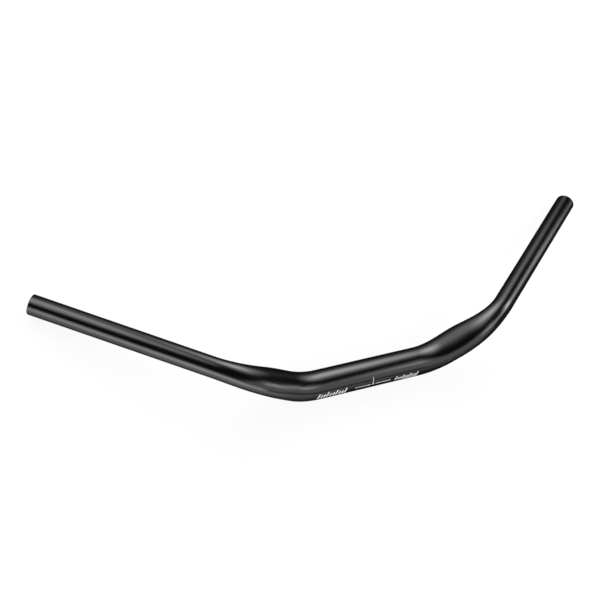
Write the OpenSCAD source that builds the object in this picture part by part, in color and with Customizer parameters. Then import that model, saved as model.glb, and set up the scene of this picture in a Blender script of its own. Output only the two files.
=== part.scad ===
// Swept-back riser handlebar: one swaged, bent and flattened aluminium tube.
// A straight round clamp area in the middle, a shoulder on each side that rises, turns back
// and tapers, and two straight round grips with open, chamfered ends.
//
// The path is laid out as ridden, with the grips level, and then turned about the clamp axis
// until the bar lies at rest on the clamp area and on the rims of its two ends.
// +X is the clamp axis, +Y is towards the rider, +Z is up, and the origin is the clamp's centre.

/* [Bar] */
// Width between the centres of the two ends
bar_width = 660; // [600:5:740]
// Height of the level grips above the clamp area, centre to centre
bar_rise = 40; // [30:1:60]
// Angle of the grips back from the clamp axis, in degrees
backsweep = 38.5; // [32:0.5:42]

/* [Tube] */
// Outside diameter of the clamp area
clamp_d = 31.8; // [30:0.1:35]
// Outside diameter of the grips
grip_d = 22.2; // [22:0.1:24]
// Wall of the tube at the clamp area
clamp_wall = 2.3; // [1.8:0.1:3]
// Wall of the tube at the grips
grip_wall = 1.8; // [1.4:0.1:2.4]
// Chamfer on both edges of each end
end_chamfer = 0.5; // [0.2:0.1:0.6]

/* [Shoulders] */
// Length of the straight round clamp area
clamp_len = 108; // [90:1:116]
// Straight tube between the clamp area and the first bend
bend_lead = 4.6; // [2:0.1:10]
// Angle of the first bend, which lifts the tube, in degrees
rise_bend = 29; // [26:0.5:32]
// Lean of the first bend towards the rider, in degrees
rise_lean = 7.7; // [0:0.1:15]
// Centreline radius of the first bend
rise_bend_r = 72; // [60:1:80]
// Centreline radius of the second bend, which turns the tube back
sweep_bend_r = 79; // [65:1:85]
// Length of the taper, which ends with the second bend
taper_len = 79; // [60:1:100]
// Share by which the shoulder is wider and flatter than round
flatten = 0.167; // [0:0.01:0.2]
// Round tube left between the flattening and the grip
flat_stop = 9; // [0:1:20]

/* [Hidden] */

$fn = 96;
BLACK = [0.07, 0.07, 0.08];

SIDES = 44;      // corners of a shoulder section
RINGS = 28;      // lengths that a shoulder is divided into
SEAT = 1;        // how far the round tubes reach into the ends of a shoulder
PROUD = 0.02;    // a shoulder's outer skin clears the round tube in it by this much
BORE_GAP = 0.07; // and its inner skin clears their bores by this much

clamp_r = clamp_d / 2;
grip_r = grip_d / 2;

function unit(v) = v / norm(v);
function ease(x) = let (t = min(max(x, 0), 1)) t * t * (3 - 2 * t);

// Directions of the three straights, and the side that each bend turns to
clamp_dir = [1, 0, 0];
rise_side = [0, sin(rise_lean), cos(rise_lean)];
rise_dir = cos(rise_bend) * clamp_dir + sin(rise_bend) * rise_side;
grip_dir = [cos(backsweep), sin(backsweep), 0];
sweep_bend = acos(rise_dir * grip_dir);
sweep_side = unit(grip_dir - (rise_dir * grip_dir) * rise_dir);

// How far a bend of angle a and radius r carries the tube on, from direction d towards side n
function bend(a, r, d, n) = r * (sin(a) * d + (1 - cos(a)) * n);

rise_step = bend(rise_bend, rise_bend_r, clamp_dir, rise_side);
sweep_step = bend(sweep_bend, sweep_bend_r, rise_dir, sweep_side);
// The straight between the bends makes up the rest of the rise
mid_len = (bar_rise - rise_step.z - sweep_step.z) / rise_dir.z;

// Corners of the centreline, and their distance along it from the bar's middle
rise_start = [clamp_len / 2 + bend_lead, 0, 0];
rise_end = rise_start + rise_step;
sweep_start = rise_end + mid_len * rise_dir;
grip_start = sweep_start + sweep_step;
s_rise = rise_start.x;
s_mid = s_rise + rise_bend_r * rise_bend * PI / 180;
s_sweep = s_mid + mid_len;
s_grip = s_sweep + sweep_bend_r * sweep_bend * PI / 180;

grip_len = (bar_width / 2 - grip_start.x) / grip_dir.x;

// Point and direction of the centreline, s along it from the bar's middle
function turned(s, from, r) = (s - from) / r * 180 / PI;
function path_point(s) =
    s < s_rise ? s * clamp_dir
  : s < s_mid ? rise_start + bend(turned(s, s_rise, rise_bend_r), rise_bend_r, clamp_dir, rise_side)
  : s < s_sweep ? rise_end + (s - s_mid) * rise_dir
  : s < s_grip ? sweep_start + bend(turned(s, s_sweep, sweep_bend_r), sweep_bend_r, rise_dir, sweep_side)
  : grip_start + (s - s_grip) * grip_dir;
function swung(a, d, n) = cos(a) * d + sin(a) * n;
function path_dir(s) =
    s < s_rise ? clamp_dir
  : s < s_mid ? swung(turned(s, s_rise, rise_bend_r), clamp_dir, rise_side)
  : s < s_sweep ? rise_dir
  : s < s_grip ? swung(turned(s, s_sweep, sweep_bend_r), rise_dir, sweep_side)
  : grip_dir;

// Section of the tube: mean radius, wall, and the share by which it is flattened
function swaged(s) = ease((s - s_grip + taper_len) / taper_len);
function tube_r(s) = clamp_r + (grip_r - clamp_r) * swaged(s);
function tube_wall(s) = clamp_wall + (grip_wall - clamp_wall) * swaged(s);
flat_from = clamp_len / 2;
flat_to = s_grip - flat_stop;
function flat(s) =
    s <= flat_from || s >= flat_to ? 0
  : flatten * (1 - cos(360 * (s - flat_from) / (flat_to - flat_from))) / 2;

// The flattened section is wide across the first bend's plane
wide_side = [0, cos(rise_lean), -sin(rise_lean)];
function wide_dir(s) = let (d = path_dir(s)) unit(wide_side - (wide_side * d) * d);

// Half width of the outer skin, whose flats touch the true section, and of the inner skin
function outer_r(s, widen) = tube_r(s) * (1 + widen) / cos(180 / SIDES) + PROUD;
function inner_r(s, widen) = tube_r(s) * (1 + widen) - tube_wall(s) + BORE_GAP;

// One closed oval section
function section(s, wide_r, thin_r) =
    let (p = path_point(s), w = wide_dir(s), n = cross(path_dir(s), w))
    [for (i = [0:SIDES - 1]) let (a = 360 * i / SIDES) p + wide_r * cos(a) * w + thin_r * sin(a) * n];

// Turn about the clamp axis that brings the rims of both ends down to the floor
rim = grip_start + (grip_len - end_chamfer) * grip_dir;
rim_reach = norm([rim.y, rim.z]);
function rim_drop(turn) = grip_r * sqrt(1 - pow(grip_dir.y * sin(turn), 2)) - clamp_r;
function settle(turn, passes) =
    passes == 0 ? turn
  : settle(atan2(rim.z, rim.y) - asin(rim_drop(turn) / rim_reach), passes - 1);
rest_turn = settle(0, 8);

module clamp_area() {
    rotate([0, 90, 0]) difference() {
        cylinder(h = clamp_len + 2 * SEAT, r = clamp_r, center = true);
        cylinder(h = clamp_len + 4 * SEAT, r = clamp_r - clamp_wall, center = true);
    }
}

// The swaged, flattened double bend: an outer and an inner skin, joined by a flat ring at each end
module shoulder() {
    from = clamp_len / 2;
    stations = [for (k = [0:RINGS]) from + (s_grip - from) * k / RINGS];
    outer = [for (s = stations) each section(s, outer_r(s, flat(s)), outer_r(s, -flat(s)))];
    inner = [for (s = stations) each section(s, inner_r(s, flat(s)), inner_r(s, -flat(s)))];
    bore = len(outer);
    last = RINGS * SIDES;
    function next(i) = (i + 1) % SIDES;
    skin = [
        for (k = [0:RINGS - 1], i = [0:SIDES - 1])
            let (a = k * SIDES + i, b = k * SIDES + next(i))
            each [[a, b + SIDES, b], [a, a + SIDES, b + SIDES]]
    ];
    start_ring = [
        for (i = [0:SIDES - 1])
            each [[bore + i, i, next(i)], [bore + i, next(i), bore + next(i)]]
    ];
    end_ring = [for (f = start_ring) [f[0] + last, f[2] + last, f[1] + last]];
    bore_skin = [for (f = skin) [f[0] + bore, f[2] + bore, f[1] + bore]];
    polyhedron(points = concat(outer, inner), faces = concat(skin, bore_skin, start_ring, end_ring));
}

// side is 1 on +X and -1 on -X
module grip(side) {
    bore_r = grip_r - grip_wall;
    c = end_chamfer;
    translate([side * grip_start.x, grip_start.y, grip_start.z])
        rotate([0, 0, 90 - side * (90 - backsweep)]) rotate([0, 90, 0]) rotate_extrude()
        polygon([
            [bore_r, -SEAT], [grip_r, -SEAT],
            [grip_r, grip_len - c], [grip_r - c, grip_len],
            [bore_r + c, grip_len], [bore_r, grip_len - c]
        ]);
}

module handlebar() {
    color(BLACK) rotate([-rest_turn, 0, 0]) {
        clamp_area();
        shoulder();
        mirror([1, 0, 0]) shoulder();
        grip(1);
        grip(-1);
    }
}

handlebar();
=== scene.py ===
"""A swept-back riser handlebar in black anodised aluminium, lying in a small product studio.

The bar is swept ring by ring along the same path as its solid, swaged and flattened at the shoulders, and
given a wall, open bores and chamfered ends. A plain white alignment scale is printed on the clamp area.
"""

import logging
import math
from dataclasses import dataclass, field, replace

import bmesh
import bpy
from mathutils import Matrix, Vector


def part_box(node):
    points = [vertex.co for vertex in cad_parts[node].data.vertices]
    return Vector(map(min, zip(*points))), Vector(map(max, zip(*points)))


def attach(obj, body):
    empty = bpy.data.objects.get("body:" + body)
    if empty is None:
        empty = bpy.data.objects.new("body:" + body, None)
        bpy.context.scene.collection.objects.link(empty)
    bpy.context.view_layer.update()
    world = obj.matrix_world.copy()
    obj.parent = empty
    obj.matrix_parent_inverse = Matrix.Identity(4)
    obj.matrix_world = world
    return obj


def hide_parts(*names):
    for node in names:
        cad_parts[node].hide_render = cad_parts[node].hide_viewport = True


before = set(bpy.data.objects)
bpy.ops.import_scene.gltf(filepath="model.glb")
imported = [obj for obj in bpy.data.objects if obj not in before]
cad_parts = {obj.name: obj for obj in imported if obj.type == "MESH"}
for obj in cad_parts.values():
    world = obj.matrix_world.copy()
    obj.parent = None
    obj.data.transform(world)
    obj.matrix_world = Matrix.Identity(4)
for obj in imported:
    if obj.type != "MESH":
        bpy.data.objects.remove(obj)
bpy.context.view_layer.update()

log = logging.getLogger("handlebar")

MM = 0.001
END_GAP = 0.03  # millimetres that keep the round rims inside the box of the solid's flats
NODE = "handlebar"
BODY = "root"

REST_PASSES = 8  # enough for rest_turn to settle
NOISE_RANGE = (0.3, 0.7)  # the middle of a noise's range, where most of its values lie
GRAIN_SCALE = 2500.0  # grains in a metre, unless a finish says otherwise
GRAIN_DETAIL = 2.0
CLOUD_SCALE = 24.0  # clouds in a metre
CLOUD_DETAIL = 3.0
PIT_SHARE = 0.4  # how much the pits add to the grain's height
MERGE_DISTANCE = 1e-6  # metres
SMOOTH_ANGLE = math.radians(35)


# Sizes and path


@dataclass(frozen=True)
class TubeSizes:
    """The bar's driving sizes, in millimetres and degrees, the same as in its solid.

    Args:
        bar_width: from the middle of one end to the middle of the other, across the bar.
        bar_rise: how far the grips are above the clamp axis.
        backsweep: how far the grips turn back towards the rider.
        clamp_d: outside diameter of the clamp area.
        grip_d: outside diameter of a grip.
        clamp_wall: the wall at the clamp area.
        grip_wall: the wall at a grip.
        end_chamfer: the chamfer of an end's edges.
        clamp_len: the length of the clamp area.
        bend_lead: the straight between the clamp area and the first bend.
        rise_bend: how far the first bend turns.
        rise_lean: how far the first bend leans back from upright.
        rise_bend_r: the radius of the first bend.
        sweep_bend_r: the radius of the second bend.
        taper_len: the length of the taper, which ends where the grip starts.
        flatten: the share by which the shoulder is wider and flatter at its middle.
        flat_stop: how far before the grip the shoulder is round again.
    """

    bar_width: float = 660.0
    bar_rise: float = 40.0
    backsweep: float = 38.5
    clamp_d: float = 31.8
    grip_d: float = 22.2
    clamp_wall: float = 2.3
    grip_wall: float = 1.8
    end_chamfer: float = 0.5
    clamp_len: float = 108.0
    bend_lead: float = 4.6
    rise_bend: float = 29.0
    rise_lean: float = 7.7
    rise_bend_r: float = 72.0
    sweep_bend_r: float = 79.0
    taper_len: float = 79.0
    flatten: float = 0.167
    flat_stop: float = 9.0

    @property
    def clamp_r(self) -> float:
        """Outside radius of the clamp area."""
        return self.clamp_d / 2

    @property
    def grip_r(self) -> float:
        """Outside radius of a grip."""
        return self.grip_d / 2


@dataclass(frozen=True)
class Bend:
    """One bend of the centreline.

    Args:
        start: where it starts.
        along: the tube's direction there.
        side: the direction that it turns to, square to along.
        radius: its centreline radius.
        angle: how far it turns, in radians.
    """

    start: Vector
    along: Vector
    side: Vector
    radius: float
    angle: float

    @property
    def length(self) -> float:
        """Length of tube in the bend."""
        return self.radius * self.angle

    @property
    def centre(self) -> Vector:
        """The point that the bend turns about."""
        return self.start + self.radius * self.side

    def point(self, angle: float) -> Vector:
        """The centreline's point, angle into the bend."""
        return self.start + self.radius * (
            math.sin(angle) * self.along + (1 - math.cos(angle)) * self.side
        )

    def direction(self, angle: float) -> Vector:
        """The centreline's direction, angle into the bend."""
        return math.cos(angle) * self.along + math.sin(angle) * self.side


class TubePath:
    """The centreline of the half on +X with the grips level, and the tube's section along it."""

    def __init__(self, sizes: TubeSizes) -> None:
        """Lays out the straights and bends.

        Args:
            sizes: the bar's driving sizes.
        """
        lean, rise, sweep = (
            math.radians(a) for a in (sizes.rise_lean, sizes.rise_bend, sizes.backsweep)
        )
        self.sizes = sizes
        clamp_dir = Vector((1, 0, 0))
        rise_side = Vector((0, math.sin(lean), math.cos(lean)))
        lead_end = Vector((sizes.clamp_len / 2 + sizes.bend_lead, 0, 0))
        self.rise = Bend(lead_end, clamp_dir, rise_side, sizes.rise_bend_r, rise)
        mid_dir = self.rise.direction(rise)
        self.grip_dir = Vector((math.cos(sweep), math.sin(sweep), 0))
        sweep_side = (self.grip_dir - mid_dir.dot(self.grip_dir) * mid_dir).normalized()
        turn = math.acos(mid_dir.dot(self.grip_dir))
        climb = Bend(Vector(), mid_dir, sweep_side, sizes.sweep_bend_r, turn).point(turn).z
        mid_start = self.rise.point(rise)
        self.mid_len = (sizes.bar_rise - mid_start.z - climb) / mid_dir.z
        sweep_start = mid_start + self.mid_len * mid_dir
        self.sweep = Bend(sweep_start, mid_dir, sweep_side, sizes.sweep_bend_r, turn)
        self.grip_start = self.sweep.point(turn)
        self.grip_len = (sizes.bar_width / 2 - self.grip_start.x) / self.grip_dir.x
        self.s_rise = lead_end.x
        self.s_mid = self.s_rise + self.rise.length
        self.s_sweep = self.s_mid + self.mid_len
        self.s_grip = self.s_sweep + self.sweep.length
        self.s_end = self.s_grip + self.grip_len
        self.wide_side = Vector((0, math.cos(lean), -math.sin(lean)))

    def point(self, s: float) -> Vector:
        """The centreline's point, s along it from the bar's middle.

        Args:
            s: how far along it from the bar's middle, in millimetres.

        Returns:
            The point, in millimetres.
        """
        if s < self.s_rise:
            return Vector((s, 0, 0))
        if s < self.s_mid:
            return self.rise.point((s - self.s_rise) / self.rise.radius)
        if s < self.s_sweep:
            return self.rise.point(self.rise.angle) + (s - self.s_mid) * self.sweep.along
        if s < self.s_grip:
            return self.sweep.point((s - self.s_sweep) / self.sweep.radius)
        return self.grip_start + (s - self.s_grip) * self.grip_dir

    def direction(self, s: float) -> Vector:
        """The centreline's direction, s along it from the bar's middle.

        Args:
            s: how far along it from the bar's middle, in millimetres.

        Returns:
            A unit vector.
        """
        into_rise = (min(max(s, self.s_rise), self.s_mid) - self.s_rise) / self.rise.radius
        into_sweep = (min(max(s, self.s_sweep), self.s_grip) - self.s_sweep) / self.sweep.radius
        if s < self.s_sweep:
            return self.rise.direction(into_rise)
        return self.sweep.direction(into_sweep)

    def swaged(self, s: float) -> float:
        """How far the taper has come, from 0 at the clamp area to 1 at the grip.

        Args:
            s: how far along it from the bar's middle, in millimetres.

        Returns:
            The share, eased.
        """
        t = (s - self.s_grip + self.sizes.taper_len) / self.sizes.taper_len
        t = min(max(t, 0.0), 1.0)
        return t * t * (3 - 2 * t)

    def radius(self, s: float) -> float:
        """Mean outside radius."""
        return self.sizes.clamp_r + (self.sizes.grip_r - self.sizes.clamp_r) * self.swaged(s)

    def wall(self, s: float) -> float:
        """Thickness of the tube's wall."""
        thinner = self.sizes.grip_wall - self.sizes.clamp_wall
        return self.sizes.clamp_wall + thinner * self.swaged(s)

    def flat(self, s: float) -> float:
        """The share by which the section is wider and flatter than round.

        Args:
            s: how far along it from the bar's middle, in millimetres.

        Returns:
            The share, which is 0 at both ends of the shoulder.
        """
        start, stop = self.sizes.clamp_len / 2, self.s_grip - self.sizes.flat_stop
        if not start < s < stop:
            return 0.0
        return self.sizes.flatten * (1 - math.cos(2 * math.pi * (s - start) / (stop - start))) / 2

    def section_axes(self, s: float) -> Matrix:
        """The section's wide, thin and lengthwise directions, as columns.

        Args:
            s: how far along it from the bar's middle, in millimetres.

        Returns:
            The three directions as a turn.
        """
        along = self.direction(s)
        wide = (self.wide_side - self.wide_side.dot(along) * along).normalized()
        return Matrix((wide, along.cross(wide), along)).transposed()

    def rest_turn(self) -> float:
        """The turn about the clamp axis, in radians, that brings both end rims down to the floor.

        Returns:
            The turn, from level grips.
        """
        rim = self.grip_start + (self.grip_len - self.sizes.end_chamfer) * self.grip_dir
        reach, turn = math.hypot(rim.y, rim.z), 0.0
        for _ in range(REST_PASSES):
            tilt = self.grip_dir.y * math.sin(turn)
            drop = self.sizes.grip_r * math.sqrt(1 - tilt * tilt) - self.sizes.clamp_r
            turn = math.atan2(rim.z, rim.y) - math.asin(drop / reach)
        return turn


# Shader helpers


class Nodes:
    """A node tree with short calls to add and link nodes."""

    def __init__(self, tree: bpy.types.NodeTree) -> None:
        """Wraps and clears a tree.

        Args:
            tree: a material's or a group's node tree.
        """
        self.tree = tree
        tree.nodes.clear()

    def add(self, kind: str, **settings: object) -> bpy.types.Node:
        """Adds a node.

        Args:
            kind: the node's type name.
            settings: properties of the node, set by name.

        Returns:
            The new node.
        """
        node = self.tree.nodes.new(kind)
        for name, value in settings.items():
            setattr(node, name, value)
        return node

    def link(self, source: bpy.types.NodeSocket, target: bpy.types.NodeSocket) -> None:
        """Links an output to an input."""
        self.tree.links.new(source, target)

    def noise(self, where: bpy.types.NodeSocket, scale: float, detail: float) -> bpy.types.Node:
        """Adds a noise texture that reads the given coordinates.

        Args:
            where: the coordinates.
            scale: cells in a metre.
            detail: how many finer layers it has.

        Returns:
            The texture.
        """
        node = self.add("ShaderNodeTexNoise")
        node.inputs["Scale"].default_value = scale
        node.inputs["Detail"].default_value = detail
        self.link(where, node.inputs["Vector"])
        return node

    def spread(self, value: bpy.types.NodeSocket, low: float, high: float) -> bpy.types.Node:
        """Adds a map from the middle of a noise's range to low and high.

        Args:
            value: the noise.
            low: what the low end gives.
            high: what the high end gives.

        Returns:
            The map.
        """
        node = self.add("ShaderNodeMapRange")
        sizes = {"From Min": NOISE_RANGE[0], "From Max": NOISE_RANGE[1], "To Min": low, "To Max": high}
        for name, size in sizes.items():
            node.inputs[name].default_value = size
        self.link(value, node.inputs["Value"])
        return node

    def ramp(
        self,
        value: bpy.types.NodeSocket,
        start: float,
        stop: float,
        low: float = 0.0,
        high: float = 1.0,
    ) -> bpy.types.NodeSocket:
        """Adds a smooth step.

        Args:
            value: what it reads.
            start: the value up to which it gives low.
            stop: the value from which it gives high.
            low: what it gives before the step.
            high: what it gives after the step.

        Returns:
            The step's output.
        """
        node = self.add("ShaderNodeMapRange", interpolation_type="SMOOTHSTEP")
        sizes = {"From Min": start, "From Max": stop, "To Min": low, "To Max": high}
        for name, size in sizes.items():
            node.inputs[name].default_value = size
        self.link(value, node.inputs["Value"])
        return node.outputs["Result"]


def surface_grain_group() -> bpy.types.NodeTree:
    """The grain of a blasted and anodised or printed surface, built once and shared.

    Returns:
        A group with a grain Scale, giving a fine Grain, a broad Cloud and a Height for bump.
    """
    name = "surface_grain"
    if name in bpy.data.node_groups:
        return bpy.data.node_groups[name]
    tree = bpy.data.node_groups.new(name, "ShaderNodeTree")
    scale = tree.interface.new_socket("Scale", in_out="INPUT", socket_type="NodeSocketFloat")
    scale.default_value = GRAIN_SCALE
    for output in ("Grain", "Cloud", "Height"):
        tree.interface.new_socket(output, in_out="OUTPUT", socket_type="NodeSocketFloat")
    nodes = Nodes(tree)
    given = nodes.add("NodeGroupInput")
    result = nodes.add("NodeGroupOutput")
    place = nodes.add("ShaderNodeTexCoord")
    grain = nodes.noise(place.outputs["Object"], GRAIN_SCALE, GRAIN_DETAIL)
    nodes.link(given.outputs["Scale"], grain.inputs["Scale"])
    cloud = nodes.noise(place.outputs["Object"], CLOUD_SCALE, CLOUD_DETAIL)
    pits = nodes.add("ShaderNodeTexVoronoi")
    nodes.link(place.outputs["Object"], pits.inputs["Vector"])
    nodes.link(given.outputs["Scale"], pits.inputs["Scale"])
    height = nodes.add("ShaderNodeMath", operation="MULTIPLY_ADD")
    height.inputs[1].default_value = PIT_SHARE
    nodes.link(pits.outputs["Distance"], height.inputs[0])
    nodes.link(grain.outputs["Fac"], height.inputs[2])
    nodes.link(grain.outputs["Fac"], result.inputs["Grain"])
    nodes.link(cloud.outputs["Fac"], result.inputs["Cloud"])
    nodes.link(height.outputs[0], result.inputs["Height"])
    return tree


# Finishes


@dataclass(frozen=True)
class BlackAnodised:
    """Semi-gloss black anodising over a finely blasted aluminium tube.

    Args:
        colour: what it reflects straight on.
        edge_tint: the share that it keeps of a metal's reflection near its edge.
        roughness: how rough its smoothest and its roughest places are.
        grain_share: how much of the roughness follows the grain; the clouds have the rest.
        tones: what the darkest and the lightest clouds multiply the colour by.
        grain_scale: grains in a metre.
        grain_bump: the strength of the grain's bump.
        grain_height: the height of the grain, in millimetres.
    """

    colour: tuple[float, float, float] = (0.064, 0.064, 0.066)
    edge_tint: tuple[float, float, float] = (0.30, 0.30, 0.30)
    roughness: tuple[float, float] = (0.215, 0.245)
    grain_share: float = 0.5
    tones: tuple[float, float] = (0.94, 1.06)
    grain_scale: float = 2600.0
    grain_bump: float = 0.06
    grain_height: float = 0.05

    def material(self) -> bpy.types.Material:
        """Builds the finish.

        Returns:
            The material.
        """
        material = bpy.data.materials.new("black_anodised")
        material.use_nodes = True
        nodes = Nodes(material.node_tree)
        output = nodes.add("ShaderNodeOutputMaterial")
        surface = nodes.add("ShaderNodeBsdfPrincipled")
        surface.inputs["Metallic"].default_value = 1.0
        surface.inputs["Specular Tint"].default_value = (*self.edge_tint, 1)
        grain = nodes.add("ShaderNodeGroup", node_tree=surface_grain_group())
        grain.inputs["Scale"].default_value = self.grain_scale

        tone = nodes.spread(grain.outputs["Cloud"], *self.tones)
        dye = nodes.add("ShaderNodeMix", data_type="RGBA", blend_type="MULTIPLY")
        dye.inputs["Factor"].default_value = 1.0
        dye.inputs["A"].default_value = (*self.colour, 1)
        nodes.link(tone.outputs["Result"], dye.inputs["B"])
        nodes.link(dye.outputs["Result"], surface.inputs["Base Color"])

        both = nodes.add("ShaderNodeMath", operation="MULTIPLY_ADD")
        both.inputs[1].default_value = self.grain_share
        nodes.link(grain.outputs["Grain"], both.inputs[0])
        rest = nodes.add("ShaderNodeMath", operation="MULTIPLY")
        rest.inputs[1].default_value = 1 - self.grain_share
        nodes.link(grain.outputs["Cloud"], rest.inputs[0])
        nodes.link(rest.outputs[0], both.inputs[2])
        rough = nodes.spread(both.outputs[0], *self.roughness)
        nodes.link(rough.outputs["Result"], surface.inputs["Roughness"])

        bump = nodes.add("ShaderNodeBump")
        bump.inputs["Strength"].default_value = self.grain_bump
        bump.inputs["Distance"].default_value = self.grain_height * MM
        nodes.link(grain.outputs["Height"], bump.inputs["Height"])
        nodes.link(bump.outputs["Normal"], surface.inputs["Normal"])
        nodes.link(surface.outputs["BSDF"], output.inputs["Surface"])
        return material


@dataclass(frozen=True)
class WhitePrint:
    """Pad-printed ink, a little thin here and there.

    Args:
        colour: where it is thick.
        worn: where it is thin.
        roughness: how rough it is.
        grain_scale: thin spots in a metre.
    """

    colour: tuple[float, float, float] = (0.9, 0.9, 0.89)
    worn: tuple[float, float, float] = (0.7, 0.7, 0.69)
    roughness: float = 0.5
    grain_scale: float = 4000.0

    def material(self) -> bpy.types.Material:
        """Builds the finish.

        Returns:
            The material.
        """
        material = bpy.data.materials.new("white_print")
        material.use_nodes = True
        nodes = Nodes(material.node_tree)
        output = nodes.add("ShaderNodeOutputMaterial")
        surface = nodes.add("ShaderNodeBsdfPrincipled")
        surface.inputs["Roughness"].default_value = self.roughness
        grain = nodes.add("ShaderNodeGroup", node_tree=surface_grain_group())
        grain.inputs["Scale"].default_value = self.grain_scale
        thin = nodes.spread(grain.outputs["Grain"], 0.0, 1.0)
        ink = nodes.add("ShaderNodeMix", data_type="RGBA")
        ink.inputs["A"].default_value = (*self.worn, 1)
        ink.inputs["B"].default_value = (*self.colour, 1)
        nodes.link(thin.outputs["Result"], ink.inputs["Factor"])
        nodes.link(ink.outputs["Result"], surface.inputs["Base Color"])
        nodes.link(surface.outputs["BSDF"], output.inputs["Surface"])
        return material


@dataclass(frozen=True)
class StudioFloor:
    """A light table, glowing from below so that it shows white and keeps a faint shadow. The glow that
    the bar reflects is a painted reflection, dim on one side and bright on the other.

    Args:
        colour: the colour of its paper, which sends the lamps' light back up to the bar.
        glow: how bright it shows round the bar, where 1 is white.
        shown_shadow: how much of the lamps' light and shadow shows on it.
        white_from: where it starts to turn plain white and where it is, in metres from the middle.
        painted_reflection: how bright the bar reflects its dim side and its bright side.
        painted_bright_side: the direction of its bright side.
        fade: where its glow starts and stops to rise in that direction, in metres.
    """

    colour: tuple[float, float, float] = (0.8, 0.8, 0.8)
    glow: float = 0.9
    shown_shadow: float = 0.12
    white_from: tuple[float, float] = (0.4, 0.7)
    # The next three set the painted reflection: a glow that only the bar's reflections see, dim on one
    # side and bright on the other.
    painted_reflection: tuple[float, float] = (0.12, 1.42)
    painted_bright_side: tuple[float, float, float] = (-0.67, -0.75, 0.0)
    fade: tuple[float, float] = (-0.02, 0.21)

    def material(self) -> bpy.types.Material:
        """Builds the finish.

        Returns:
            The material.
        """
        material = bpy.data.materials.new("studio_floor")
        material.use_nodes = True
        nodes = Nodes(material.node_tree)
        output = nodes.add("ShaderNodeOutputMaterial")
        paper = nodes.add("ShaderNodeBsdfDiffuse")
        paper.inputs["Color"].default_value = (*self.colour, 1)
        shadow = nodes.add("ShaderNodeBsdfDiffuse")
        shadow.inputs["Color"].default_value = (self.shown_shadow,) * 3 + (1,)
        ray = nodes.add("ShaderNodeLightPath")
        white = nodes.add("ShaderNodeEmission")
        nodes.link(self._strength(nodes, ray.outputs["Is Glossy Ray"]), white.inputs["Strength"])
        shown = nodes.add("ShaderNodeAddShader")
        nodes.link(white.outputs[0], shown.inputs[0])
        nodes.link(shadow.outputs[0], shown.inputs[1])
        either = nodes.add("ShaderNodeMath", operation="MAXIMUM")
        nodes.link(ray.outputs["Is Camera Ray"], either.inputs[0])
        nodes.link(ray.outputs["Is Glossy Ray"], either.inputs[1])
        mix = nodes.add("ShaderNodeMixShader")
        nodes.link(either.outputs[0], mix.inputs["Fac"])
        nodes.link(paper.outputs[0], mix.inputs[1])
        nodes.link(shown.outputs[0], mix.inputs[2])
        nodes.link(mix.outputs[0], output.inputs["Surface"])
        return material

    def _strength(self, nodes: Nodes, glossy: bpy.types.NodeSocket) -> bpy.types.NodeSocket:
        """Adds the glow's strength over the table, for the camera, and for the bar's reflections a
        painted reflection that is dim on one side and bright on the other.

        Args:
            nodes: the material's nodes.
            glossy: 1 for a reflection's ray.

        Returns:
            The strength's output.
        """
        place = nodes.add("ShaderNodeTexCoord").outputs["Object"]
        away = nodes.add("ShaderNodeVectorMath", operation="LENGTH")
        nodes.link(place, away.inputs[0])
        shown = nodes.ramp(away.outputs["Value"], *self.white_from, low=self.glow)
        # The bar's reflections see a painted reflection here: dim on one side of the table and bright on
        # the other.
        sideways = nodes.add("ShaderNodeVectorMath", operation="DOT_PRODUCT")
        sideways.inputs[1].default_value = self.painted_bright_side
        nodes.link(place, sideways.inputs[0])
        painted_reflection = nodes.ramp(sideways.outputs["Value"], *self.fade, *self.painted_reflection)
        strength = nodes.add("ShaderNodeMix", data_type="FLOAT")
        nodes.link(glossy, strength.inputs["Factor"])
        nodes.link(shown, strength.inputs["A"])
        nodes.link(painted_reflection, strength.inputs["B"])
        return strength.outputs["Result"]


# Modelling helpers


def select_none() -> None:
    """Leaves nothing selected, in object mode."""
    if bpy.context.object and bpy.context.object.mode != "OBJECT":
        bpy.ops.object.mode_set(mode="OBJECT")
    bpy.ops.object.select_all(action="DESELECT")


def make_active(piece: bpy.types.Object) -> None:
    """Selects one object alone and makes it active.

    Args:
        piece: the object.
    """
    select_none()
    piece.select_set(True)
    bpy.context.view_layer.objects.active = piece


def apply_modifier(piece: bpy.types.Object, kind: str, **settings: object) -> None:
    """Adds a modifier and applies it.

    Args:
        piece: the object.
        kind: the modifier's type.
        settings: properties of the modifier, set by name.
    """
    make_active(piece)
    modifier = piece.modifiers.new(kind.lower(), kind)
    for name, value in settings.items():
        setattr(modifier, name, value)
    bpy.ops.object.modifier_apply(modifier=modifier.name)


def finish_piece(piece: bpy.types.Object, name: str, material: bpy.types.Material) -> None:
    """Names a piece, gives it its finish and lets it ride on the bar's body.

    Args:
        piece: the piece.
        name: its name.
        material: its finish.
    """
    piece.name = piece.data.name = name
    piece.data.materials.clear()
    piece.data.materials.append(material)
    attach(piece, BODY)
    log.info("%s: %d faces", name, len(piece.data.polygons))


# The bar


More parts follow.
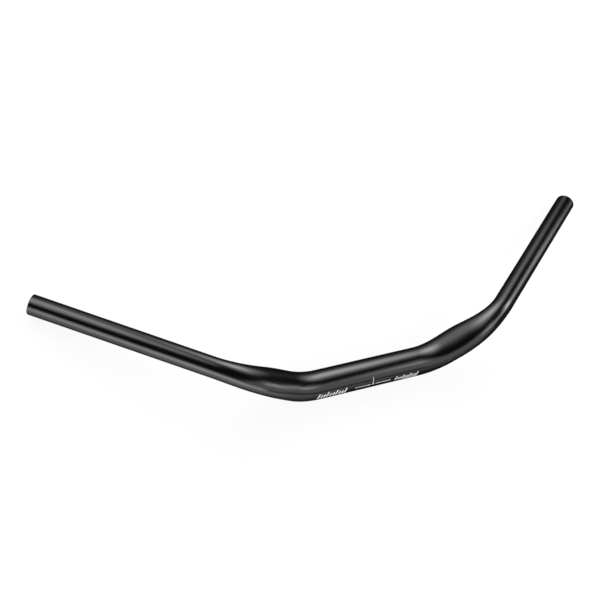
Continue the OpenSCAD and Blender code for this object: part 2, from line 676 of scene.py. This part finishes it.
@dataclass
class BarTube:
    """The bent, swaged and flattened tube, with its wall and its open ends.

    Args:
        path: the centreline and the sections along it.
        finish: what it is dressed in.
        sides: the number of flats round a ring.
        ring_pitch: the longest step from ring to ring, in millimetres.
        grip_pitch: the same, along a grip.
        rim_segments: the number of steps in the chamfer of an end.
        rim_angle: the angle from which an edge is chamfered, in degrees.
    """

    path: TubePath
    finish: BlackAnodised = field(default_factory=BlackAnodised)
    sides: int = 96
    ring_pitch: float = 2.2
    grip_pitch: float = 12.0
    rim_segments: int = 1
    rim_angle: float = 60.0

    def build(self) -> bpy.types.Object:
        """Models the tube and dresses it.

        Returns:
            The finished piece.
        """
        tube = self._first_ring()
        stations = self._sweep(tube)
        self._swage(tube, stations)
        self._mirror(tube)
        self._give_wall(tube)
        self._lay_down(tube)
        finish_piece(tube, "bar_tube", self.finish.material())
        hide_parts(NODE)
        return tube

    def _first_ring(self) -> bpy.types.Object:
        """Adds the ring of vertices at the bar's middle, square to the clamp axis.

        Returns:
            The object that holds the ring.
        """
        select_none()
        bpy.ops.mesh.primitive_circle_add(
            vertices=self.sides,
            radius=self.path.sizes.clamp_r * MM,
            fill_type="NOTHING",
            rotation=(0, math.pi / 2, 0),
        )
        bpy.ops.object.transform_apply(location=False, rotation=True, scale=False)
        return bpy.context.object

    def _sweep(self, tube: bpy.types.Object) -> list[float]:
        """Draws the ring out along the path, by extruding the straights and spinning the bends.

        Args:
            tube: the object that holds the first ring.

        Returns:
            Where each ring stands along the path, in the order of the mesh's vertices.
        """
        path = self.path
        make_active(tube)
        bpy.ops.object.mode_set(mode="EDIT")
        bpy.ops.mesh.select_all(action="SELECT")
        stations = [0.0]
        self._draw_straight(stations, path.s_rise, Vector((1, 0, 0)), self.ring_pitch)
        self._draw_bend(stations, path.rise)
        self._draw_straight(stations, path.s_sweep, path.sweep.along, self.ring_pitch)
        self._draw_bend(stations, path.sweep)
        self._draw_straight(stations, path.s_end - END_GAP, path.grip_dir, self.grip_pitch)
        bpy.ops.object.mode_set(mode="OBJECT")
        return stations

    def _draw_straight(self, stations: list[float], to: float, along: Vector, pitch: float) -> None:
        """Extrudes the selected ring in equal steps, as far as a place along the path.

        Args:
            stations: where the rings so far stand; the new ones are added.
            to: the place along the path.
            along: the straight's direction.
            pitch: the longest step, in millimetres.
        """
        steps = math.ceil((to - stations[-1]) / pitch)
        step = (to - stations[-1]) / steps
        for _ in range(steps):
            bpy.ops.mesh.extrude_region_move(
                TRANSFORM_OT_translate={"value": tuple(along * step * MM)}
            )
            stations.append(stations[-1] + step)

    def _draw_bend(self, stations: list[float], bend: Bend) -> None:
        """Spins the selected ring about a bend's centre.

        Args:
            stations: where the rings so far stand; the new ones are added.
            bend: the bend.
        """
        steps = math.ceil(bend.length / self.ring_pitch)
        bpy.ops.mesh.spin(
            steps=steps,
            angle=bend.angle,
            center=tuple(bend.centre * MM),
            axis=tuple(bend.side.cross(bend.along)),
        )
        start = stations[-1]
        stations.extend(start + bend.length * (k + 1) / steps for k in range(steps))

    def _swage(self, tube: bpy.types.Object, stations: list[float]) -> None:
        """Scales each ring to its own width and thickness, and notes the wall there.

        Args:
            tube: the swept tube, still of one radius.
            stations: where each ring stands along the path.
        """
        path = self.path
        walls = tube.vertex_groups.new(name="wall")
        for k, s in enumerate(stations):
            ring = range(k * self.sides, (k + 1) * self.sides)
            walls.add(list(ring), path.wall(s) / path.sizes.clamp_wall, "REPLACE")
        make_active(tube)
        bpy.ops.object.mode_set(mode="EDIT")
        mesh = bmesh.from_edit_mesh(tube.data)
        for k, s in enumerate(stations):
            share, flat = path.radius(s) / path.sizes.clamp_r, path.flat(s)
            if share == 1 and flat == 0:
                continue
            bpy.ops.mesh.select_all(action="DESELECT")
            mesh.verts.ensure_lookup_table()
            for i in range(k * self.sides, (k + 1) * self.sides):
                mesh.verts[i].select_set(True)
            mesh.select_flush(True)
            bpy.ops.transform.resize(
                value=(share * (1 + flat), share * (1 - flat), 1),
                orient_type="GLOBAL",
                orient_matrix=path.section_axes(s),
                orient_matrix_type="GLOBAL",
                center_override=tuple(path.point(s) * MM),
            )
        bpy.ops.object.mode_set(mode="OBJECT")

    def _mirror(self, tube: bpy.types.Object) -> None:
        """Mirrors the half to the other side, joined at the middle, faces outwards.

        Args:
            tube: the half tube.
        """
        apply_modifier(
            tube,
            "MIRROR",
            use_axis=(True, False, False),
            use_mirror_merge=True,
            merge_threshold=MERGE_DISTANCE,
        )
        bpy.ops.object.mode_set(mode="EDIT")
        bpy.ops.mesh.select_all(action="SELECT")
        bpy.ops.mesh.remove_doubles(threshold=MERGE_DISTANCE)
        bpy.ops.mesh.normals_make_consistent(inside=False)
        bpy.ops.object.mode_set(mode="OBJECT")

    def _give_wall(self, tube: bpy.types.Object) -> None:
        """Gives the skin its wall, thinner towards the grips, and breaks the edges of both ends.

        Args:
            tube: the tube's outer skin.
        """
        sizes = self.path.sizes
        apply_modifier(
            tube,
            "SOLIDIFY",
            thickness=sizes.clamp_wall * MM,
            offset=-1.0,
            use_even_offset=True,
            use_rim=True,
            vertex_group="wall",
        )
        apply_modifier(
            tube,
            "BEVEL",
            width=sizes.end_chamfer * MM,
            segments=self.rim_segments,
            limit_method="ANGLE",
            angle_limit=math.radians(self.rim_angle),
            harden_normals=False,
        )
        make_active(tube)
        bpy.ops.object.shade_smooth_by_angle(angle=SMOOTH_ANGLE)

    def _lay_down(self, tube: bpy.types.Object) -> None:
        """Turns the bar about its clamp axis to its place at rest.

        Args:
            tube: the finished tube, still with its grips level.
        """
        make_active(tube)
        tube.rotation_euler.x = -self.path.rest_turn()
        bpy.ops.object.transform_apply(location=False, rotation=True, scale=False)


# The printed scale


@dataclass(frozen=True)
class PrintedBar:
    """One printed stroke, flat on an unrolled strip, in millimetres.

    Args:
        x: its middle, along the clamp axis.
        up: its middle, up the strip.
        width: its size along the clamp axis.
        height: its size up the strip.
        slant: how far its top leans along the clamp axis.
    """

    x: float
    up: float
    width: float
    height: float
    slant: float = 0.0


@dataclass(frozen=True)
class PrintBlock:
    """A block of slanted strokes on the strip, every third of them tall, in millimetres.

    Args:
        start: where it starts, along the clamp axis.
        end: where it ends.
        height: the height of a tall stroke.
        pitch: how far its strokes are apart.
        underline: the length of its underline, or 0 where it has none.
        short: the share of the height that the other strokes have.
        ink_share: the share of the pitch that is inked.
        slant: how far a stroke leans, as a share of its own height.
        drop: how far the underline is below the middle, as a share of the height.
        line: the thickness of the underline.
    """

    start: float
    end: float
    height: float
    pitch: float
    underline: float = 0.0
    short: float = 0.7
    ink_share: float = 0.5
    slant: float = 0.35
    drop: float = 0.78
    line: float = 0.9

    def strokes(self) -> list[PrintedBar]:
        """Lists its strokes and its underline.

        Returns:
            The strokes, from its start to its end.
        """
        strokes = []
        for k in range(int((self.end - self.start) / self.pitch)):
            height = self.height if k % 3 == 0 else self.height * self.short
            middle = self.start + self.pitch * (k + 0.5)
            up = (height - self.height) / 2
            width = self.pitch * self.ink_share
            strokes.append(PrintedBar(middle, up, width, height, height * self.slant))
        if self.underline:
            middle = (self.start + 2 * self.end) / 3
            strokes.append(PrintedBar(middle, -self.height * self.drop, self.underline, self.line))
        return strokes


@dataclass
class AlignmentPrint:
    """A plain printed scale that centres the bar in its clamp: a crosshair and two hatched blocks.

    Args:
        path: the centreline and the sections along it.
        finish: what it is printed in.
        front_turn: how far the strip's middle is turned from the top to the front, in degrees.
        ink: the thickness of the ink, in millimetres.
        cross: the strokes of the crosshair.
        dash: the first dash towards +X; the others follow on both sides.
        dash_pitch: how far the dashes are apart, in millimetres.
        dashes: the number of dashes on each side.
        blocks: the hatched blocks.
        cuts: how often each stroke is cut, so that it bends round the tube.
    """

    path: TubePath
    finish: WhitePrint = field(default_factory=WhitePrint)
    front_turn: float = 69.0
    ink: float = 0.03
    cross: tuple[PrintedBar, ...] = (
        PrintedBar(x=0, up=3.8, width=0.6, height=10.5),
        PrintedBar(x=0, up=0, width=3.2, height=0.6),
    )
    dash: PrintedBar = PrintedBar(x=3.65, up=0, width=1.4, height=1.3, slant=0.4)
    dash_pitch: float = 2.1
    dashes: int = 9
    blocks: tuple[PrintBlock, ...] = (
        PrintBlock(start=-66.0, end=-28.0, height=7.0, pitch=3.5),
        PrintBlock(start=26.5, end=55.5, height=5.6, pitch=2.9, underline=17.0),
    )
    cuts: int = 5

    def build(self, tube: bpy.types.Object) -> bpy.types.Object:
        """Prints the scale on the tube.

        Args:
            tube: the finished bar.

        Returns:
            The finished piece.
        """
        sheet = self._flat_sheet()
        self._wrap(sheet, tube)
        finish_piece(sheet, "alignment_print", self.finish.material())
        return sheet

    def _strokes(self) -> list[PrintedBar]:
        """Lists the strokes of the crosshair, its dashed line and the blocks.

        Returns:
            The strokes.
        """
        strokes = list(self.cross)
        for k in range(self.dashes):
            for side in (-1, 1):
                strokes.append(replace(self.dash, x=side * (self.dash.x + self.dash_pitch * k)))
        for block in self.blocks:
            strokes.extend(block.strokes())
        return strokes

    def _flat_sheet(self) -> bpy.types.Object:
        """Adds a flat plane for each stroke, level with the clamp axis, and joins them.

        Returns:
            The flat strokes, as one object.
        """
        select_none()
        parts = []
        for stroke in self._strokes():
            bpy.ops.mesh.primitive_plane_add(size=1, location=(stroke.x * MM, stroke.up * MM, 0))
            plane = bpy.context.object
            plane.scale = (stroke.width * MM, stroke.height * MM, 1)
            bpy.ops.object.transform_apply(location=True, rotation=False, scale=True)
            for vertex in plane.data.vertices:
                rise = vertex.co.y / MM - stroke.up
                vertex.co.x += rise / stroke.height * stroke.slant * MM
            bpy.ops.object.mode_set(mode="EDIT")
            bpy.ops.mesh.select_all(action="SELECT")
            bpy.ops.mesh.subdivide(number_cuts=self.cuts)
            bpy.ops.object.mode_set(mode="OBJECT")
            parts.append(plane)
        for part in parts:
            part.select_set(True)
        bpy.context.view_layer.objects.active = parts[0]
        bpy.ops.object.join()
        return bpy.context.object

    def _wrap(self, sheet: bpy.types.Object, tube: bpy.types.Object) -> None:
        """Rolls the flat strokes on to the tube and gives them the ink's thickness.

        Args:
            sheet: the flat strokes.
            tube: the finished bar.
        """
        radius = self.path.sizes.clamp_r + self.ink
        middle = math.radians(self.front_turn)
        for vertex in sheet.data.vertices:
            turn = middle - vertex.co.y / MM / radius
            vertex.co.y = -math.sin(turn) * radius * MM
            vertex.co.z = math.cos(turn) * radius * MM
        apply_modifier(
            sheet,
            "SHRINKWRAP",
            target=tube,
            wrap_method="NEAREST_SURFACEPOINT",
            wrap_mode="ABOVE_SURFACE",
            offset=self.ink * MM,
        )
        bpy.ops.object.mode_set(mode="EDIT")
        bpy.ops.mesh.select_all(action="SELECT")
        bpy.ops.mesh.normals_make_consistent(inside=False)
        bpy.ops.object.mode_set(mode="OBJECT")
        apply_modifier(sheet, "SOLIDIFY", thickness=self.ink * MM, offset=0.0)
        bpy.ops.object.shade_smooth_by_angle(angle=SMOOTH_ANGLE)


# The studio


@dataclass(frozen=True)
class Softbox:
    """One rectangular soft light with a grid on its face.

    Args:
        name: its name.
        centre: where it hangs, in metres.
        aim: the point that it faces, in metres.
        long_side: the direction that its first side runs in, roughly.
        size: its two sides, in metres.
        radiance: how bright the middle of its face is, straight on, where 1 is white.
        soft: the share of its half width over which it fades out to its edge.
        spread: the whole angle that the grid lets through, in degrees.
    """

    name: str
    centre: tuple[float, float, float]
    aim: tuple[float, float, float]
    long_side: tuple[float, float, float]
    size: tuple[float, float]
    radiance: float
    soft: float
    spread: float

    def place(self) -> bpy.types.Object:
        """Adds the light.

        Returns:
            The light's object.
        """
        facing = (Vector(self.centre) - Vector(self.aim)).normalized()
        along = Vector(self.long_side)
        along = (along - along.dot(facing) * facing).normalized()
        half = math.radians(self.spread) / 2
        light = bpy.data.lights.new(self.name, "AREA")
        light.shape = "RECTANGLE"
        light.size, light.size_y = self.size
        light.spread = 2 * half
        # A narrow spread shines brighter straight on, by 1 / through, which is taken back here.
        through = 1 - half / math.tan(half)
        light.energy = self.radiance * math.pi * self.size[0] * self.size[1] * through
        self._fade(light)
        lamp = bpy.data.objects.new(self.name, light)
        turned = Matrix((along, facing.cross(along), facing)).transposed().to_4x4()
        turned.translation = Vector(self.centre)
        lamp.matrix_world = turned
        lamp.visible_camera = False
        bpy.context.scene.collection.objects.link(lamp)
        return lamp

    def _fade(self, light: bpy.types.Light) -> None:
        """Fades the light's face out towards its edges, as cloth over a lamp does.

        Args:
            light: the light.
        """
        light.use_nodes = True
        nodes = Nodes(light.node_tree)
        output = nodes.add("ShaderNodeOutputLight")
        glow = nodes.add("ShaderNodeEmission")
        face = nodes.add("ShaderNodeNewGeometry")
        split = nodes.add("ShaderNodeSeparateXYZ")
        nodes.link(face.outputs["Parametric"], split.inputs[0])
        fades = nodes.add("ShaderNodeMath", operation="MULTIPLY")
        for k in range(2):
            across = nodes.add("ShaderNodeMath", operation="PINGPONG")
            # Folds the face at its middle, so that both of its edges are at 0.
            across.inputs[1].default_value = 0.5
            nodes.link(split.outputs[k], across.inputs[0])
            nodes.link(nodes.ramp(across.outputs[0], 0.0, self.soft / 2), fades.inputs[k])
        nodes.link(fades.outputs[0], glow.inputs["Strength"])
        nodes.link(glow.outputs[0], output.inputs["Surface"])


@dataclass
class Studio:
    """The floor, the soft lights and the camera, which stands where the photograph was taken from.

    The camera's numbers come from a fit to the photograph's outline. Those of the soft lights, the room's
    grey and the painted reflection on the floor come from a fit to its tones, and were rounded.

    Args:
        floor_z: the height of the floor, in metres.
        floor_size: the side of the floor, in metres.
        world_grey: how bright the room is in reflections, where 1 is white.
        camera_place: where the camera stands, in metres.
        camera_target: the point in the middle of its picture, in metres.
        camera_roll: how far it is rolled anticlockwise, seen from behind it, in degrees.
        focal_px: its focal length, in pixels of the photograph.
        image_px: the width of the photograph, in pixels.
        softboxes: the soft lights.
    """

    floor_z: float
    floor_size: float = 14.0
    world_grey: float = 0.015
    camera_place: tuple[float, float, float] = (-0.4959, -0.2813, 1.1164)
    camera_target: tuple[float, float, float] = (-0.0473, 0.0975, 0.0)
    camera_roll: float = 34.7
    focal_px: float = 1148.3
    image_px: float = 600.0
    softboxes: tuple[Softbox, ...] = (
        Softbox(
            name="back_tall",
            centre=(0.19, 0.46, 0.34),
            aim=(-0.07, 0.25, 0.00),
            long_side=(0.5, 0.5, -0.7),
            size=(1.09, 0.63),
            radiance=2.0,
            soft=0.65,
            spread=160,
        ),
        Softbox(
            name="left_top",
            centre=(-0.53, 0.54, 0.38),
            aim=(-0.47, 0.25, 0.00),
            long_side=(1.0, 0.0, 0.1),
            size=(0.76, 1.19),
            radiance=3.8,
            soft=0.40,
            spread=85,
        ),
        Softbox(
            name="back_wide",
            centre=(-0.04, 0.79, 0.35),
            aim=(0.20, -0.21, 0.00),
            long_side=(0.9, 0.0, 0.5),
            size=(0.32, 1.18),
            radiance=1.9,
            soft=0.20,
            spread=95,
        ),
        Softbox(
            name="front_right",
            centre=(0.53, -0.09, 0.27),
            aim=(0.30, -0.11, 0.00),
            long_side=(0.6, 0.6, -0.6),
            size=(1.00, 0.18),
            radiance=2.8,
            soft=0.35,
            spread=170,
        ),
        Softbox(
            name="right_low",
            centre=(0.52, 0.01, 0.11),
            aim=(0.40, 0.03, 0.00),
            long_side=(0.5, 0.7, -0.5),
            size=(0.28, 0.56),
            radiance=58,
            soft=0.90,
            spread=45,
        ),
        Softbox(
            name="left_low",
            centre=(-0.32, -0.51, 0.02),
            aim=(0.05, -0.21, 0.00),
            long_side=(0.6, -0.8, 0.1),
            size=(1.80, 0.62),
            radiance=3.1,
            soft=0.50,
            spread=170,
        ),
        Softbox(
            name="back_mid",
            centre=(0.17, 0.50, 0.40),
            aim=(0.00, 0.24, 0.03),
            long_side=(0.9, -0.1, -0.3),
            size=(0.56, 0.61),
            radiance=4.0,
            soft=0.90,
            spread=170,
        ),
        Softbox(
            name="front_low",
            centre=(0.10, -0.45, 0.31),
            aim=(-0.11, -0.27, 0.03),
            long_side=(0.7, 0.7, -0.1),
            size=(0.97, 0.53),
            radiance=1.05,
            soft=0.20,
            spread=170,
        ),
    )

    def build(self) -> None:
        """Sets up the whole studio."""
        self._floor()
        self._world()
        for box in self.softboxes:
            box.place()
        self._camera()
        bpy.context.scene.view_settings.view_transform = "Standard"

    def _floor(self) -> None:
        """Lays the white table under the bar."""
        select_none()
        bpy.ops.mesh.primitive_plane_add(size=self.floor_size, location=(0, 0, self.floor_z))
        floor = bpy.context.object
        floor.name = floor.data.name = "floor"
        bpy.ops.object.transform_apply(location=True, rotation=False, scale=False)
        floor.data.materials.append(StudioFloor().material())

    def _world(self) -> None:
        """Fills the room with a dim grey, and shows the camera a white backdrop."""
        world = bpy.data.worlds.new("studio")
        bpy.context.scene.world = world
        world.use_nodes = True
        nodes = Nodes(world.node_tree)
        output = nodes.add("ShaderNodeOutputWorld")
        room = nodes.add("ShaderNodeBackground")
        room.inputs["Color"].default_value = (self.world_grey,) * 3 + (1,)
        backdrop = nodes.add("ShaderNodeBackground")
        backdrop.inputs["Color"].default_value = (1, 1, 1, 1)
        ray = nodes.add("ShaderNodeLightPath")
        mix = nodes.add("ShaderNodeMixShader")
        nodes.link(ray.outputs["Is Camera Ray"], mix.inputs["Fac"])
        nodes.link(room.outputs[0], mix.inputs[1])
        nodes.link(backdrop.outputs[0], mix.inputs[2])
        nodes.link(mix.outputs[0], output.inputs["Surface"])

    def _camera(self) -> None:
        """Puts the camera where the photograph was taken from."""
        place = Vector(self.camera_place)
        upright = (Vector(self.camera_target) - place).to_track_quat("-Z", "Y").to_matrix()
        turned = upright @ Matrix.Rotation(math.radians(self.camera_roll), 3, "Z")
        camera = bpy.data.cameras.new("camera")
        camera.sensor_fit = "HORIZONTAL"
        camera.sensor_width = 36.0
        camera.lens = self.focal_px / self.image_px * camera.sensor_width
        eye = bpy.data.objects.new("camera", camera)
        eye.matrix_world = Matrix.LocRotScale(place, turned, None)
        bpy.context.scene.collection.objects.link(eye)
        bpy.context.scene.camera = eye


def main() -> None:
    """Builds the studio and the bar, and writes how large both models are."""
    logging.basicConfig(level=logging.INFO, format="%(name)s: %(message)s")
    path = TubePath(TubeSizes())
    Studio(floor_z=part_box(NODE)[0].z).build()
    tube = BarTube(path).build()
    AlignmentPrint(path).build(tube)


if __name__ == "__main__":
    main()
